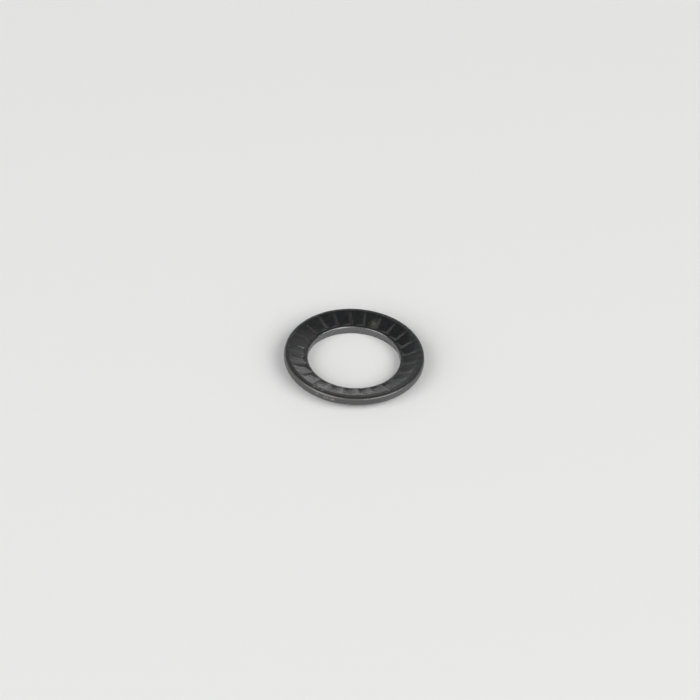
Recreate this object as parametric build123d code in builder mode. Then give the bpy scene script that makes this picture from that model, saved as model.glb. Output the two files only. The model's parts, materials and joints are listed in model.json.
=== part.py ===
# Serrated conical spring washer: one ring of spring steel, blanked, toothed on both faces
# and dished.  Millimetres, +Z up.  It lies hollow side up on its lower bore edge, and the
# origin is the centre of the bore, in the plane that it rests on.
from build123d import *
from math import atan2, cos, pi, radians, sin, tan
import os

# ---- driving dimensions -------------------------------------------------------------
bore_diameter = 6.6         # burnished land that the screw shank passes through
outer_diameter = 10.05      # of the blank, before its lower edge is rolled in
stock_thickness = 0.77      # over the tooth crests, square to the two faces
dish_angle = 20.5           # slope of both faces against the resting plane, degrees

breakout_height = 0.32      # torn lower part of the bore wall
breakout_flare = 0.19       # how far it opens towards the bottom, on the radius
rim_lean = 0.05             # how far the rim leans in from its lower edge to its brow
crown_width = 0.48          # of the level crown between the hollow face and the rim

lip_radius = 0.15           # tumbled edge between the hollow face and the bore
crease_radius = 0.06        # edge between the hollow face and the crown
brow_radius = 0.16          # rounded edge between the crown and the rim
roll_radius = 0.34          # rolled-in lower edge of the rim
foot_radius = 0.04          # lower bore edge, which the washer rests on
land_blend = 0.12           # soft turn from the burnished land to the break-out

tooth_count = 24
tooth_inset = 0.17          # plain band between a face's bore edge and its teeth
tooth_stop = 0.05           # how far short of the crown's crease the teeth end, on the radius
flank_at_bore = 0.29        # plan width of a tooth's steep flank at its bore end
flank_at_rim = 0.15         # the same at its rim end
depth_at_bore = 0.11        # depth of a tooth root under the face at its bore end
depth_at_rim = 0.06         # the same at its rim end
crest_land = 0.045          # worn flat along each crest
end_slope = 45.0            # slope of the two ends of a tooth gap, degrees

cutter_reach = 0.08         # how far the gap cutter stands out of the face
crest_overrun = 1.04        # how far its flanks pass the crests, as a factor

# ---- values that follow -------------------------------------------------------------
slope = radians(dish_angle)
bore_radius = bore_diameter / 2
foot_corner = bore_radius + breakout_flare
rim_radius = outer_diameter / 2
brow_corner = rim_radius - rim_lean
crease_corner = brow_corner - crown_width      # where the hollow face meets the crown

# the foot touches the resting plane with its rounding, so its sharp corner lies lower
breakout_lean = atan2(breakout_flare, breakout_height)
half_corner = (pi / 2 + breakout_lean - slope) / 2
corner_tilt = (pi / 2 - breakout_lean - slope) / 2
foot_drop = foot_radius * (cos(corner_tilt) / sin(half_corner) - 1)


def lower_face(radius):
    """Height of the lower, bulging face above the resting plane."""
    return (radius - foot_corner) * tan(slope) - foot_drop


def upper_face(radius):
    """Height of the upper, hollow face above the resting plane."""
    return lower_face(radius) + stock_thickness / cos(slope)


def tooth_gap(face_height, bore_edge, side):
    """The metal pressed out between two crests, as a solid that cuts it away.

    A steep flank and a long ramp meet in a root, which deepens towards the bore.  bore_edge
    is the radius where the face ends at the bore.  side is +1 on the upper face and -1 on
    the lower one, so each face has the same ratchet teeth when it is looked at from its own
    side.
    """
    lean = side * radians(end_slope)
    bore_end = (bore_edge + tooth_inset, flank_at_bore, depth_at_bore, slope + lean)
    rim_end = (crease_corner - tooth_stop, flank_at_rim, depth_at_rim, slope - lean)
    stretch = 1 / cos(lean)
    with BuildPart() as gap:
        for radius, flank, depth, facing in (bore_end, rim_end):
            ramp = 2 * pi * radius / tooth_count - flank - crest_land
            # the cone curves away from the flat that touches it along the root
            curve = side * sin(slope) / (2 * radius)
            root = Vector(0, -depth)
            flank_top = root + (Vector(-flank, curve * flank**2) - root) * crest_overrun
            ramp_top = root + (Vector(ramp, curve * ramp**2) - root) * crest_overrun
            outline = (
                root,
                ramp_top,
                Vector(ramp_top.X, cutter_reach),
                Vector(flank_top.X, cutter_reach),
                flank_top,
            )
            end_plane = Plane(
                origin=(radius, 0, face_height(radius)),
                x_dir=(0, side, 0),
                z_dir=(cos(facing), 0, sin(facing)),
            )
            with BuildSketch(end_plane):
                with BuildLine():
                    Polyline([(point.X, point.Y * stretch) for point in outline], close=True)
                make_face()
        loft(ruled=True)
    return gap.part


# ---- the washer ---------------------------------------------------------------------
crown_height = upper_face(crease_corner)
upper_gap = tooth_gap(upper_face, bore_radius, side=1)
lower_gap = tooth_gap(lower_face, foot_corner, side=-1)

section = {
    (foot_corner, lower_face(foot_corner)): foot_radius,
    (rim_radius, lower_face(rim_radius)): roll_radius,
    (brow_corner, crown_height): brow_radius,
    (crease_corner, crown_height): crease_radius,
    (bore_radius, upper_face(bore_radius)): lip_radius,
    (bore_radius, breakout_height): land_blend,
}

with BuildPart() as washer:
    with BuildSketch(Plane.XZ):
        with BuildLine():
            FilletPolyline(*section, radius=section.values(), close=True)
        make_face()
    revolve(axis=Axis.Z)
    with PolarLocations(0, tooth_count):
        add(upper_gap, mode=Mode.SUBTRACT)
        add(lower_gap, mode=Mode.SUBTRACT)

washer.part.label = "washer"
os.makedirs("parts", exist_ok=True)
export_step(washer.part, "parts/washer.step")
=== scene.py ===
"""Looks of a blackened, toothed and dished spring washer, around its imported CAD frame.

Metres, +Z up, in the part's own frame: the washer lies hollow side up on its lower bore
edge, round the Z axis.  One fine mesh stands for the CAD solid.  It has nearly the same
section and the same kind of teeth, with the tumbled edges, uneven coining, off-centre
hollow face and nicks of the real thing.
"""
import json
import math

import bpy
import numpy as np
from mathutils import Matrix, Vector


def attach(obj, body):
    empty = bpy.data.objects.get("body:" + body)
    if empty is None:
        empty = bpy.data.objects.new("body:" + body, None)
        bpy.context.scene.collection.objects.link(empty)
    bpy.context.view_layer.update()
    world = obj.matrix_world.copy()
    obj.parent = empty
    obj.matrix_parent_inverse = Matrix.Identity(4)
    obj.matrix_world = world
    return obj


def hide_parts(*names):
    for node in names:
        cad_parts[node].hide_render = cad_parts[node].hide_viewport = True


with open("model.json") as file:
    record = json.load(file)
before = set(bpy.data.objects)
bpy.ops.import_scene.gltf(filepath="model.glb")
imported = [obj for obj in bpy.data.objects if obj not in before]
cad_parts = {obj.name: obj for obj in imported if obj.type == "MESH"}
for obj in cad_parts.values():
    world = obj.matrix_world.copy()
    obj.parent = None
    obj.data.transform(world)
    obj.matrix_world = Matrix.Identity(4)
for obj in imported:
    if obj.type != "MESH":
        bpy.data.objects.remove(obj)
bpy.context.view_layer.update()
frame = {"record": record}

MM = 0.001
FULL_TURN = 2 * math.pi
rng = np.random.default_rng(11)
bore = next(mount for mount in frame["record"]["mounts"] if mount["name"] == "bore")


def place_in_scene(name, data):
    """A new object with the given mesh, lamp or camera."""
    made = bpy.data.objects.new(name, data)
    bpy.context.scene.collection.objects.link(made)
    return made


# ---- section of the ring, in millimetres ---------------------------------------------
slope = math.radians(19.2)      # of both faces against the floor
stock = 0.75                    # thickness, square to the faces
bore_radius = bore["dims"]["r_mm"]
breakout_height = 0.32          # torn lower part of the bore wall
breakout_flare = 0.19           # how far it opens towards the bottom, on the radius
foot_drop = 0.009               # the foot's sharp corner lies this far under the floor
rim_radius = 5.025
rim_lean = 0.05                 # how far the rim leans in from its lower edge to its brow
crown_width = 0.40              # of the plain crown between the hollow face and the rim
crown_rise = math.radians(1.5)  # tumbling leaves it a little higher at the rim

foot_corner = bore_radius + breakout_flare
brow_corner = rim_radius - rim_lean
crease_corner = brow_corner - crown_width

foot_radius = 0.04              # lower bore edge, which the washer rests on
roll_radius = 0.34              # rolled-in lower edge of the rim
brow_radius = 0.20              # rounded edge between the rim and the crown
crease_radius = 0.06            # edge between the crown and the hollow face
lip_radius = 0.11               # tumbled edge between the hollow face and the bore
land_blend = 0.12               # soft turn from the burnished land to the torn break-out
row_crowding = 0.11             # how far the rows of a face crowd towards its two edges

# ---- teeth, much the same on both faces, in millimetres ------------------------------
tooth_count = 24
bore_inset = 0.17               # plain band between a face's bore edge and its teeth
crease_overrun = 0.04           # how far the teeth run on past the crease
bore_run_out = 0.45             # how steeply a gap rises to the plain band at its bore end
rim_run_out = 0.13              # the same at its rim end
flank_width = (0.24, 0.14)      # plan width of a steep flank, at the bore and rim ends
root_depth = (0.11, 0.045)      # depth of a gap's root under the face, at the two ends
crest_land = 0.045              # worn flat along each crest
crest_round = 0.006             # how far the crests are rounded
root_round = 0.008              # how far the roots are rounded

teeth_end = crease_corner + crease_overrun
pitch_angle = FULL_TURN / tooth_count

ramp_columns, land_columns, flank_columns = 22, 4, 10
ring = tooth_count * (ramp_columns + land_columns + flank_columns)


def face_height(radius, side):
    """Height of the plain cone: side is 1 on the hollow face and -1 on the lower one."""
    height = (radius - foot_corner) * math.tan(slope) - foot_drop
    return height + stock / math.cos(slope) if side > 0 else height


def fillet(before, corner, after, radius, steps):
    """Points round a corner of the section, from one tangent point to the other."""
    a = (Vector(before) - Vector(corner)).normalized()
    b = (Vector(after) - Vector(corner)).normalized()
    half = a.angle(b) / 2
    centre = Vector(corner) + (a + b).normalized() * radius / math.sin(half)
    start = Vector(corner) + a * radius / math.tan(half) - centre
    end = Vector(corner) + b * radius / math.tan(half) - centre
    total = start.angle(end)
    points = []
    for i in range(steps + 1):
        mix = i / steps
        swing = start * math.sin((1 - mix) * total) + end * math.sin(mix * total)
        points.append(centre + swing / math.sin(total))
    return points


def section_outline():
    """The closed outline of the section, and the name of the surface at each point."""
    crease_height = face_height(crease_corner, 1)
    brow_height = crease_height + crown_width * math.tan(crown_rise)
    # each corner: its name, radius on the ring, height, rounding and the steps round it,
    # then the surface that follows it and that surface's steps
    corners = [
        ("foot", foot_corner, face_height(foot_corner, -1), foot_radius, 4, "lower", 20),
        ("roll", rim_radius, face_height(rim_radius, -1), roll_radius, 8, "rim", 5),
        ("brow", brow_corner, brow_height, brow_radius, 9, "crown", 7),
        ("crease", crease_corner, crease_height, crease_radius, 6, "upper", 33),
        ("lip", bore_radius, face_height(bore_radius, 1), lip_radius, 7, "land", 5),
        ("blend", bore_radius, breakout_height, land_blend, 3, "torn", 6),
    ]
    count = len(corners)
    places = [corner[1:3] for corner in corners]
    arcs = [
        fillet(places[i - 1], places[i], places[(i + 1) % count], *corners[i][3:5])
        for i in range(count)
    ]
    points, names = [], []
    for i, corner in enumerate(corners):
        after, after_steps = corner[5:]
        points += arcs[i]
        names += [corner[0]] * len(arcs[i])
        start, end = arcs[i][-1], arcs[(i + 1) % count][0]
        for step in range(1, after_steps):
            share = step / after_steps
            if after in ("upper", "lower"):
                share -= row_crowding * math.sin(FULL_TURN * share)
            points.append(start.lerp(end, share))
            names.append(after)
    return np.array([tuple(point) for point in points]), np.array(names)


def between(ends, share):
    """The value at a share of the way from the first of two ends to the second."""
    return ends[0] + (ends[1] - ends[0]) * share


def steps_of(count):
    """Shares from 0 up to just short of 1, as one row."""
    return np.linspace(0, 1, count, endpoint=False)[None, :]


def soft_max(value, limit, radius):
    """The larger of the two, with the corner between them rounded."""
    return 0.5 * (value + limit + np.sqrt((value - limit) ** 2 + radius ** 2))


def hump(distance, width):
    """A smooth hump that is 1 at distance 0 and fades out over the width."""
    return np.exp(-(distance / width) ** 2)


class Teeth:
    """The ratchet teeth of one face, each a little different from the next."""

    end_fade = 0.04             # depth that a gap's run-out has where its masks are full
    flank_start = 0.6           # share of the crest's flat where the flank's mask starts
    flank_fade = 0.03
    crest_wear = 0.035          # width of the worn line along a crest

    def __init__(self, side, bore_edge):
        self.side = side
        self.bore_end = bore_edge + bore_inset
        self.shift = rng.normal(0, 0.006, tooth_count)      # radians round the ring
        self.twist = rng.normal(0, 0.008, tooth_count)      # radians, bore end to rim end
        self.width = rng.uniform(0.85, 1.2, tooth_count)    # of the flank, as a factor
        self.depth = rng.uniform(0.85, 1.1, tooth_count)    # of the root, as a factor
        self.bore_slip = rng.normal(0, 0.02, tooth_count)   # of the gap's bore end
        self.rim_slip = rng.normal(0, 0.03, tooth_count)    # of its rim end

    def at(self, radius):
        """Angles, gap depths, flank mask and crest mask of every column at one radius.

        The columns of a tooth start at its root and go up the ramp, over the crest and
        down the steep flank to the next root.
        """
        share = np.clip((radius - self.bore_end) / (teeth_end - self.bore_end), 0, 1)
        root = np.arange(tooth_count) * pitch_angle + self.shift + self.twist * (share - 0.5)
        next_root = np.append(root[1:], root[0] + FULL_TURN)
        pitch = ((next_root - root) * radius)[:, None]
        flank = between(flank_width, share) * self.width[:, None]
        depth = between(root_depth, share) * self.depth[:, None]
        next_depth = np.roll(depth, -1, axis=0)
        ramp = pitch - flank - crest_land
        arcs = np.concatenate([
            ramp * steps_of(ramp_columns),
            ramp + crest_land * steps_of(land_columns),
            ramp + crest_land + flank * steps_of(flank_columns),
        ], axis=1)

        # a ramp is straight where the cone is round, so its middle stands off the cone
        curve = self.side * math.sin(slope) / (2 * radius)
        ramp_gap = depth * (1 - arcs / ramp) - curve * arcs * (ramp - arcs)
        flank_gap = next_depth * (1 - (pitch - arcs) / flank)
        gap = soft_max(np.maximum(ramp_gap, flank_gap), 0, crest_round)
        deepest = np.where(ramp_gap > flank_gap, depth, next_depth)
        gap = deepest - np.sqrt((deepest - gap) ** 2 + root_round ** 2)
        bore_limit = (radius - self.bore_end - self.bore_slip[:, None]) * bore_run_out
        rim_limit = (teeth_end + self.rim_slip[:, None] - radius) * rim_run_out
        limit = np.maximum(np.minimum(bore_limit, rim_limit), 0)
        gap = np.maximum(np.minimum(gap, limit), 0)

        inside = np.clip(limit / self.end_fade, 0, 1)
        past_crest = arcs - ramp - crest_land * self.flank_start
        on_flank = np.clip(past_crest / self.flank_fade, 0, 1) * inside
        on_crest = hump(arcs - ramp - crest_land / 2, self.crest_wear) * inside
        angles = root[:, None] + arcs / radius
        result = [part.ravel() for part in (angles, gap, on_flank, on_crest)]
        if self.side > 0:
            return result
        # seen from above, the lower face's teeth go the other way round
        result = [np.roll(part[::-1], 1) for part in result]
        result[0] = FULL_TURN - result[0]
        result[0][0] -= FULL_TURN
        return result


# ---- columns and teeth of every row --------------------------------------------------
outline, surface = section_outline()
rows = len(outline)
travelled = np.append(0, np.cumsum(np.linalg.norm(np.diff(outline, axis=0), axis=1)))


def upper_share(row):
    """How far the columns of a row follow the upper teeth, against the lower ones."""
    if surface[row] in ("upper", "crease", "crown", "brow", "lip"):
        return 1.0
    if surface[row] in ("lower", "foot", "roll"):
        return 0.0
    if surface[row] == "rim":
        lower_end, upper_end = travelled[surface == "roll"][-1], travelled[surface == "brow"][0]
    else:
        lower_end, upper_end = travelled[-1], travelled[surface == "lip"][-1]
    return (travelled[row] - lower_end) / (upper_end - lower_end)


upper_teeth = Teeth(1, bore_radius)
lower_teeth = Teeth(-1, foot_corner)
angles = np.zeros((rows, ring))
gaps = np.zeros((rows, ring))
on_flank = np.zeros((rows, ring))
on_crest = np.zeros((rows, ring))
for row in range(rows):
    upper = upper_teeth.at(outline[row, 0])
    lower = lower_teeth.at(outline[row, 0])
    share = upper_share(row)
    angles[row] = upper[0] * share + lower[0] * (1 - share)
    if surface[row] in ("upper", "crease", "crown"):
        gaps[row], on_flank[row], on_crest[row] = upper[1:]
    elif surface[row] == "lower":
        gaps[row], on_flank[row], on_crest[row] = lower[1:]


# ---- wear and uneven making ----------------------------------------------------------
def wander(waves, strength, low=2, high=9):
    """An uneven wave round the ring, summed from waves with low to high swings in a turn."""
    total = np.zeros_like(angles)
    for _ in range(waves):
        size = rng.normal()
        swings = rng.integers(low, high)
        phase = rng.uniform(0, 6.3)     # radians, anywhere round the ring
        total += size * np.sin(swings * angles + phase)
    return strength * total / math.sqrt(waves)


def on(*names):
    """Mask of the rows that belong to the named surfaces."""
    return np.isin(surface, names)[:, None]


def place_of(surface_name, share):
    """Distance travelled along the section to a share of one named surface."""
    span = travelled[surface == surface_name]
    return span[0] + (span[-1] - span[0]) * share


def past(place, fade):
    """Mask of what lies past a place on the section, with a soft start."""
    return np.clip((travelled[:, None] - place) / fade, 0, 1)


def short_of(place, fade):
    """Mask of what lies short of a place on the section, with a soft end."""
    return np.clip((place - travelled[:, None]) / fade, 0, 1)


def line(place, width):
    """Mask of a soft line round the ring, at one place on the section."""
    return hump(travelled - place, width)[:, None]


def spot(degrees, surface_name, share, wide, tall):
    """Mask of a soft spot: wide round the ring and tall across it, in millimetres."""
    turn = (angles - math.radians(degrees) + math.pi) % FULL_TURN - math.pi
    arc = turn * outline[:, 0][:, None]
    across = (travelled - place_of(surface_name, share))[:, None]
    return np.exp(-(arc / wide) ** 2 - (across / tall) ** 2)


# uneven coining of the faces, a slightly wavy rim and a torn lower bore wall
relief = wander(waves=5, strength=0.0025)
relief += wander(waves=8, strength=0.0015, low=20, high=70)
relief += on("roll", "rim", "brow", "crown") * wander(waves=10, strength=0.0018, low=30, high=120)
ragged = wander(waves=14, strength=0.006, low=60, high=260)
ragged += wander(waves=6, strength=0.006, low=12, high=40)
relief += on("torn", "blend") * ragged

# nicks along the rim and a few on the crests: degrees, surface, share, wide, tall, depth
nicks = [
    (-117.5, "crown", 0.25, 0.10, 0.05, 0.020),
    (-114.6, "crown", 0.75, 0.09, 0.05, 0.022),
    (-112.3, "rim", 0.80, 0.06, 0.09, 0.018),
    (-109.6, "crown", 0.20, 0.11, 0.04, 0.020),
    (-108.2, "upper", 0.03, 0.10, 0.04, 0.014),
    (-105.6, "rim", 0.60, 0.07, 0.06, 0.018),
    (-103.4, "rim", 0.35, 0.05, 0.08, 0.014),
    (-98.6, "rim", 0.25, 0.12, 0.05, 0.016),
    (-86.0, "roll", 0.70, 0.08, 0.05, 0.010),
    (-58.5, "upper", 0.02, 0.14, 0.03, 0.010),
    (-49.0, "crown", 0.90, 0.12, 0.04, 0.010),
]
small_nicks = 12                # scattered round the rim
for _ in range(small_nicks):
    nicks.append((
        rng.uniform(-60, 220),
        rng.choice(["crown", "rim", "roll"]),
        rng.uniform(0.1, 0.9),
        rng.uniform(0.03, 0.08),
        rng.uniform(0.03, 0.06),
        rng.uniform(0.004, 0.010),
    ))
bright_depth = 0.012            # a nick this deep is bared all over
nicked = np.zeros((rows, ring))
for *spot_place, depth in nicks:
    mark = spot(*spot_place)
    relief -= depth * mark
    nicked = np.maximum(nicked, mark * min(1, depth / bright_depth))

# the bore is torn wider on one side
tear_depth = 0.12
tear = spot(degrees=16.0, surface_name="torn", share=0.8, wide=1.7, tall=9.0)
tear = tear * on("blend", "torn", "foot") * past(place_of("blend", 0.5), fade=0.12)
relief -= tear_depth * tear

along = np.roll(outline, -1, axis=0) - np.roll(outline, 1, axis=0)
along /= np.linalg.norm(along, axis=1)[:, None]
outward = np.stack([along[:, 1], -along[:, 0]], axis=1)
radii = outline[:, 0][:, None] + outward[:, 0][:, None] * (relief - gaps)
heights = outline[:, 1][:, None] + outward[:, 1][:, None] * (relief - gaps)

# the hollow face was pressed a little off the centre of the rim, so the crown's width varies
press_offset = 0.11
press_direction = math.radians(150)
still_bore = 0.5                # the metal this near the bore stays where it was
still_brow = 0.03               # and so does the metal this near the brow
reach_in = (radii - bore_radius - still_bore) / (crease_corner - bore_radius - still_bore)
reach_out = (brow_corner - still_brow - radii) / (crown_width - still_brow)
pressed = np.clip(np.minimum(reach_in, reach_out), 0, 1) * on("brow", "crown", "crease", "upper")
pushed_out = press_offset * np.cos(angles - press_direction) * pressed
radii += pushed_out
heights = np.maximum(heights + pushed_out * math.tan(slope), 0)

# ---- mesh of the ring ----------------------------------------------------------------
vertices = np.stack([radii * np.cos(angles), radii * np.sin(angles), heights], axis=2)
first = np.arange(rows * ring).reshape(rows, ring)
after = np.roll(first, -1, axis=1)
faces = np.stack([first, after, np.roll(after, -1, axis=0), np.roll(first, -1, axis=0)], axis=2)

mesh = bpy.data.meshes.new("toothed_ring")
mesh.from_pydata(vertices.reshape(-1, 3) * MM, [], faces.reshape(-1, 4))
mesh.update()
mesh.polygons.foreach_set("use_smooth", [True] * len(mesh.polygons))

# ---- where the surface differs, kept on the mesh for the material ---------------------
# painted highlights: the crease is bared bright in two short stretches where the lamps' glints
# fall, and the lip is worn most on its +Y side
crease_glints = np.maximum(
    spot(degrees=-53.0, surface_name="crease", share=0.5, wide=0.55, tall=0.2),
    spot(degrees=-106.0, surface_name="crease", share=0.5, wide=0.40, tall=0.2),
)
lip_middle = 0.45               # where the lip is worn, as a share of its rounding
lip_line = place_of("lip", lip_middle)
lip_wear = 0.5 + 0.5 * np.clip(np.sin(angles), 0, 1)
# real wear on the crests, lip and foot, plus the painted crease glints
worn_edges_and_glints = (
    0.8 * on_crest
    + crease_glints * line(place_of("upper", 0) - 0.03, width=0.035)
    + lip_wear * line(lip_line, width=0.07)
    + line(place_of("foot", 0.5), width=0.04)
)
land_end = place_of("blend", 0.5) + wander(waves=9, strength=0.03, low=5, high=40)
rust_specks = (
    spot(degrees=175.6, surface_name="lip", share=0.6, wide=0.10, tall=0.07)
    + spot(degrees=74.2, surface_name="torn", share=0.35, wide=0.12, tall=0.06)
    + spot(degrees=-100.4, surface_name="rim", share=0.75, wide=0.09, tall=0.05)
    + 0.8 * spot(degrees=20.0, surface_name="roll", share=0.4, wide=0.10, tall=0.08)
)
crown_grime = spot(degrees=-95.0, surface_name="crown", share=0.5, wide=3.2, tall=0.5)
masks = {
    "flank": on_flank,
    # edge: worn crests, lip and foot, with the painted crease glints added
    "edge": np.clip(worn_edges_and_glints, 0, 1),
    "rim": past(place_of("roll", 0), fade=0.15) * short_of(place_of("brow", 1), fade=0.10),
    "land": past(lip_line, fade=0.05) * short_of(land_end, fade=0.03),
    "torn": past(land_end, fade=0.03),
    "nick": nicked,
    "rust": np.clip(rust_specks, 0, 1),
    "stain": spot(degrees=77.0, surface_name="upper", share=0.60, wide=0.30, tall=0.28),
    "grime": 0.9 * np.sqrt(crown_grime) * on("crease", "crown", "brow"),
    # painted sheen: the rim is lighter round -40 degrees, standing in for its reflection of the
    # lit floor to the right
    "scuff": spot(degrees=-40.0, surface_name="rim", share=0.6, wide=1.4, tall=0.40),
    # painted glints: bared steel spots on the far lip where the lamps' highlights fall
    "shine": (
        spot(degrees=112.0, surface_name="lip", share=lip_middle, wide=0.9, tall=0.06)
        + 0.5 * spot(degrees=66.0, surface_name="lip", share=lip_middle, wide=0.7, tall=0.06)
    ),
}
for name, values in masks.items():
    layer = mesh.attributes.new(name, "FLOAT", "POINT")
    layer.data.foreach_set("value", np.broadcast_to(values, (rows, ring)).ravel())


washer = place_in_scene("toothed_ring", mesh)


# ---- node helpers --------------------------------------------------------------------
def give(tree, socket, value):
    """Link a socket to another one, or set it to a plain value."""
    if isinstance(value, bpy.types.NodeSocket):
        tree.links.new(value, socket)
    else:
        socket.default_value = value


def node(tree, kind, inputs=None, **settings):
    """Add a node, set its properties, then give its inputs by name or number."""
    made = tree.nodes.new(kind)
    for name, value in settings.items():
        setattr(made, name, value)
    for name, value in (inputs or {}).items():
        give(tree, made.inputs[name], value)
    return made


def math_node(tree, operation, *values, clamp=False):
    made = node(tree, "ShaderNodeMath", dict(enumerate(values)), operation=operation)
    made.use_clamp = clamp
    return made.outputs[0]


def mix_value(tree, share, first, second):
    inputs = {0: share, 2: first, 3: second}
    return node(tree, "ShaderNodeMix", inputs, data_type="FLOAT").outputs[0]


def mix_colour(tree, share, first, second, blend="MIX"):
    inputs = {0: share, 6: first, 7: second}
    return node(tree, "ShaderNodeMix", inputs, data_type="RGBA", blend_type=blend).outputs[2]


def attribute(tree, name):
    return node(tree, "ShaderNodeAttribute", attribute_name=name).outputs["Fac"]


def patch_group():
    """Node group: a mask broken up into uneven patches by noise."""
    group = bpy.data.node_groups.new("uneven_patches", "ShaderNodeTree")
    group.interface.new_socket("Place", in_out="INPUT", socket_type="NodeSocketVector")
    for name, default in {"Mask": 1.0, "Grain mm": 0.2, "Cover": 0.5, "Edge": 0.1}.items():
        socket = group.interface.new_socket(name, in_out="INPUT", socket_type="NodeSocketFloat")
        socket.default_value = default
    group.interface.new_socket("Patches", in_out="OUTPUT", socket_type="NodeSocketFloat")
    given = node(group, "NodeGroupInput").outputs
    noise = node(group, "ShaderNodeTexNoise", {
        "Vector": given["Place"],
        "Scale": math_node(group, "DIVIDE", 1 / MM, given["Grain mm"]),
        "Detail": 4.0,
        "Roughness": 0.6,
    })
    floor_level = math_node(group, "SUBTRACT", 1.0, given["Cover"])
    raised = math_node(group, "SUBTRACT", noise.outputs["Fac"], floor_level)
    sharp = math_node(group, "DIVIDE", raised, given["Edge"])
    shifted = math_node(group, "ADD", sharp, 0.5, clamp=True)
    masked = math_node(group, "MULTIPLY", shifted, given["Mask"])
    node(group, "NodeGroupOutput", {"Patches": masked})
    return group


# ---- blackened spring steel ----------------------------------------------------------
film_ior = 2.0                  # oxide film: thin, dark and glassy
blue_black = (0.0030, 0.0065, 0.0078, 1)
brown_black = (0.0082, 0.0076, 0.0070, 1)
hazy_black = (0.0105, 0.0110, 0.0115, 1)
flank_brown = (0.0180, 0.0152, 0.0138, 1)
rim_black = (0.0020, 0.0021, 0.0024, 1)
worn_rim_black = (0.0110, 0.0108, 0.0105, 1)
grime_brown = (0.0200, 0.0180, 0.0150, 1)
# painted sheen colour for the rim's lighter right-front
painted_sheen_grey = (0.0320, 0.0310, 0.0310, 1)
bare_steel_and_glint = (0.50, 0.50, 0.51, 1)
stain_olive = (0.050, 0.052, 0.018, 1)
rust_brown = (0.12, 0.050, 0.028, 1)

film_roughness, haze_roughness = 0.17, 0.26
flank_roughness = 0.25
rim_roughness, worn_rim_roughness = 0.30, 0.44
grime_roughness = 0.36
torn_roughness = 0.50
burnished_roughness = 0.24
dry_roughness = 0.80

# each kind of patch: grain in millimetres, cover and softness of its edge
patch_looks = {
    "cast": (0.9, 0.5, 0.3),
    "haze": (0.28, 0.5, 0.35),
    "rim": (0.22, 0.5, 0.3),
    "grime": (0.16, 0.62, 0.5),
    "scuff": (0.30, 0.65, 0.6),
    "edge": (0.12, 0.52, 0.3),
    "land": (0.35, 0.75, 0.5),
    "nick": (0.07, 0.60, 0.25),
    "torn": (0.10, 0.65, 0.6),
    "shine": (0.30, 0.75, 0.4),
    "stain": (0.06, 0.50, 0.12),
    "rust": (0.06, 0.6, 0.2),
}
# how much of the film is rubbed off to the bare steel; the far lip's glint spots and the crease
# glints within edge are painted highlights in the same bare steel
bared_and_glint_share = {"edge": 0.12, "land": 0.10, "shine": 0.45, "nick": 0.55, "torn": 0.08}
stain_cover = 0.8

# the skin's relief: repeats in a metre, how much the dents count, and its depth in metres
grain_scale, pit_scale, dent_scale = 9000.0, 5200.0, 6500.0
dent_share = 0.9
skin_depth = 0.000012
skin_strength = 0.45


def skin_bump(tree, place):
    """Fine grain, pits and soft dents of the tumbled skin, as a normal."""
    grain = node(tree, "ShaderNodeTexNoise", {
        "Vector": place, "Scale": grain_scale, "Detail": 5.0, "Roughness": 0.65,
    })
    pits = node(tree, "ShaderNodeTexVoronoi", {
        "Vector": place, "Scale": pit_scale, "Randomness": 1.0,
    })
    pit_depth = node(tree, "ShaderNodeMapRange", {
        "Value": pits.outputs["Distance"], "From Min": 0.05, "From Max": 0.30,
    })
    dents = node(tree, "ShaderNodeTexNoise", {
        "Vector": place, "Scale": dent_scale, "Detail": 2.0, "Roughness": 0.5,
    })
    skin = math_node(tree, "MULTIPLY", grain.outputs["Fac"], pit_depth.outputs["Result"])
    skin = math_node(tree, "MULTIPLY_ADD", dents.outputs["Fac"], dent_share, skin)
    return node(tree, "ShaderNodeBump", {
        "Height": skin, "Strength": skin_strength, "Distance": skin_depth,
    }).outputs["Normal"]


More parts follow.
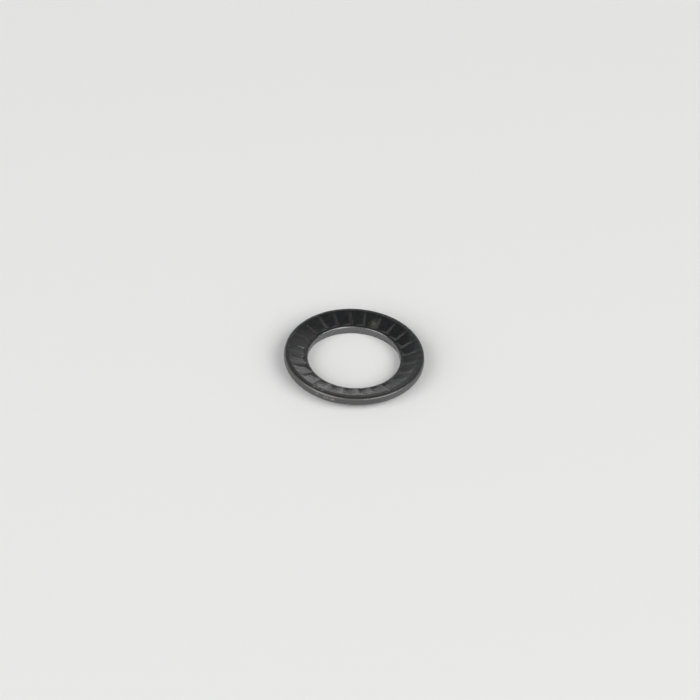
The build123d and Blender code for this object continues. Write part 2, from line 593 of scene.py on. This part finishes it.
def blackened_steel():
    """Spring steel under a dark oxide film, rubbed bare, stained and rusty in small places, with
    painted glints of bare steel on the crease and the far lip and a painted sheen on the rim.
    """
    material = bpy.data.materials.new("blackened_steel")
    material.use_nodes = True
    tree = material.node_tree
    place = node(tree, "ShaderNodeTexCoord").outputs["Object"]
    marks = {name: attribute(tree, name) for name in masks}
    patches = patch_group()

    def patchy(name):
        """The named mark broken up into patches.  Cast and haze lie all over the washer."""
        grain, cover, edge = patch_looks[name]
        return node(tree, "ShaderNodeGroup", {
            "Mask": marks.get(name, 1.0),
            "Place": place,
            "Grain mm": grain,
            "Cover": cover,
            "Edge": edge,
        }, node_tree=patches).outputs["Patches"]

    haze = patchy("haze")
    worn_rim = patchy("rim")
    grime = patchy("grime")
    stain = patchy("stain")
    rust = patchy("rust")
    # bared and bare hold the rubbed-bare wear together with the painted glints of the crease and
    # far lip
    bared = {
        name: math_node(tree, "MULTIPLY", patchy(name), share)
        for name, share in bared_and_glint_share.items()
    }
    bare, *others = bared.values()
    for other in others:
        bare = math_node(tree, "MAXIMUM", bare, other)

    colour = mix_colour(tree, patchy("cast"), blue_black, brown_black)
    for share, coat in (
        (haze, hazy_black),
        (marks["flank"], flank_brown),
        (marks["rim"], rim_black),
        (worn_rim, worn_rim_black),
        (grime, grime_brown),
        (patchy("scuff"), painted_sheen_grey),
        (bare, bare_steel_and_glint),
        (math_node(tree, "MULTIPLY", stain, stain_cover), stain_olive),
        (rust, rust_brown),
    ):
        colour = mix_colour(tree, share, colour, coat)

    dry = math_node(tree, "MAXIMUM", rust, stain)
    metallic = math_node(tree, "SUBTRACT", bare, dry, clamp=True)

    roughness = mix_value(tree, haze, film_roughness, haze_roughness)
    for share, value in (
        (marks["flank"], flank_roughness),
        (marks["rim"], rim_roughness),
        (worn_rim, worn_rim_roughness),
        (grime, grime_roughness),
        (marks["torn"], torn_roughness),
        (bared["land"], burnished_roughness),
        (dry, dry_roughness),
    ):
        roughness = mix_value(tree, share, roughness, value)

    shader = tree.nodes["Principled BSDF"]
    shader.inputs["IOR"].default_value = film_ior
    tree.links.new(colour, shader.inputs["Base Color"])
    tree.links.new(metallic, shader.inputs["Metallic"])
    tree.links.new(roughness, shader.inputs["Roughness"])
    tree.links.new(skin_bump(tree, place), shader.inputs["Normal"])
    return material


mesh.materials.append(blackened_steel())
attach(washer, "root")
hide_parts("washer")

# ---- floor ---------------------------------------------------------------------------
floor_reach = 3.0
paper_white = (0.88, 0.88, 0.875, 1)
paper_roughness = 0.9

paper = bpy.data.materials.new("pale_floor")
paper.use_nodes = True
paper_shader = paper.node_tree.nodes["Principled BSDF"]
paper_shader.inputs["Base Color"].default_value = paper_white
paper_shader.inputs["Roughness"].default_value = paper_roughness
paper_shader.inputs["Specular IOR Level"].default_value = 0.0

floor_mesh = bpy.data.meshes.new("floor")
floor_mesh.from_pydata(
    [
        (-floor_reach, -floor_reach, 0),
        (floor_reach, -floor_reach, 0),
        (floor_reach, floor_reach, 0),
        (-floor_reach, floor_reach, 0),
    ],
    [],
    [(0, 1, 2, 3)],
)
floor_mesh.materials.append(paper)
floor = place_in_scene("floor", floor_mesh)


# ---- camera --------------------------------------------------------------------------
def toward(azimuth, elevation):
    """Unit vector; azimuth is degrees from +X towards +Y, seen from above."""
    a, e = math.radians(azimuth), math.radians(elevation)
    return Vector((math.cos(a) * math.cos(e), math.sin(a) * math.cos(e), math.sin(e)))


camera_azimuth, camera_elevation = -83.2, 40.5      # of the camera, seen from the washer
camera_roll = math.radians(3.37)
camera_distance = 0.15274
aim = (-0.00026, 0.00105)       # middle of the view from the origin, across and up the view

camera_data = bpy.data.cameras.new("camera")
camera_data.lens = 110
camera_data.sensor_width = 36
camera_data.clip_start = 0.001
camera = place_in_scene("camera", camera_data)
back = toward(camera_azimuth, camera_elevation)
level_right = Vector((0, 0, 1)).cross(back).normalized()
level_up = back.cross(level_right)
right = level_right * math.cos(camera_roll) + level_up * math.sin(camera_roll)
up = back.cross(right)
camera_turn = Matrix((right, up, back)).transposed().to_4x4()
camera_place = right * aim[0] + up * aim[1] + back * camera_distance
camera.matrix_world = Matrix.Translation(camera_place) @ camera_turn
bpy.context.scene.camera = camera


# ---- light ---------------------------------------------------------------------------
softbox_distance = 1.0


def softbox(name, azimuth, elevation, width, height, power):
    """An area light that faces the washer squarely."""
    data = bpy.data.lights.new(name, "AREA")
    data.shape = "RECTANGLE"
    data.size = width
    data.size_y = height
    data.energy = power
    light = place_in_scene(name, data)
    aside = toward(azimuth, elevation)
    light.location = aside * softbox_distance
    light.rotation_euler = aside.to_track_quat("Z", "Y").to_euler()


softbox("right_box", azimuth=332.0, elevation=41.0, width=1.00, height=0.70, power=6.3)
softbox("left_box", azimuth=230.0, elevation=33.0, width=0.80, height=0.70, power=4.8)

# brightness of the room against the sine of the elevation: behind the washer it is light
# low down and dark overhead, and in front it is evenly light
back_levels = (
    (0.0, 1.70), (0.06, 1.50), (0.16, 0.70), (0.42, 0.42), (0.61, 0.42),
    (0.70, 0.20), (0.80, 0.13), (0.90, 0.08), (1.0, 0.07),
)
front_levels = (
    (0.0, 0.60), (0.25, 0.90), (0.45, 0.90), (0.65, 0.64), (0.80, 0.36), (0.92, 0.18), (1.0, 0.07),
)
side_level = 0.60               # of the back of the room to both sides, against its middle
backdrop_levels = (0.84, 0.84, 0.835)
sky_strength = 2.5              # the colours of the sky are shares of it


def sky_ramp(tree, sine, levels):
    """Brightness of one side of the room, from its (sine, level) pairs."""
    ramp = node(tree, "ShaderNodeValToRGB", {"Fac": sine})
    elements = ramp.color_ramp.elements
    elements[0].position = levels[0][0]
    elements[1].position = levels[-1][0]
    for position, level in levels[1:-1]:
        elements.new(position)
    for element, (position, level) in zip(elements, levels):
        share = level / sky_strength
        element.color = (share, share, share, 1)
    return ramp.outputs["Color"]


def studio_world():
    """A soft grey room, which the camera itself sees as a plain pale backdrop."""
    world = bpy.data.worlds.new("studio")
    world.use_nodes = True
    sky = world.node_tree
    direction = node(sky, "ShaderNodeTexCoord").outputs["Generated"]
    parts = node(sky, "ShaderNodeSeparateXYZ", {"Vector": direction}).outputs
    sideways = math_node(sky, "ABSOLUTE", parts["X"])
    side_share = node(sky, "ShaderNodeMapRange", {
        "Value": sideways, "From Min": 0.08, "From Max": 0.40, "To Min": 1.0, "To Max": side_level,
    }).outputs["Result"]
    front_share = node(sky, "ShaderNodeMapRange", {
        "Value": parts["Y"], "From Min": 0.05, "From Max": -0.25,
    }).outputs["Result"]
    back_wall = sky_ramp(sky, parts["Z"], back_levels)
    back_wall = mix_colour(sky, 1.0, back_wall, side_share, blend="MULTIPLY")
    front_wall = sky_ramp(sky, parts["Z"], front_levels)
    walls = mix_colour(sky, front_share, back_wall, front_wall)
    backdrop = (*(level / sky_strength for level in backdrop_levels), 1)
    camera_ray = node(sky, "ShaderNodeLightPath").outputs["Is Camera Ray"]
    background = sky.nodes["Background"]
    background.inputs["Strength"].default_value = sky_strength
    sky.links.new(mix_colour(sky, camera_ray, walls, backdrop), background.inputs["Color"])
    return world


bpy.context.scene.world = studio_world()

bpy.context.scene.view_settings.view_transform = "Standard"
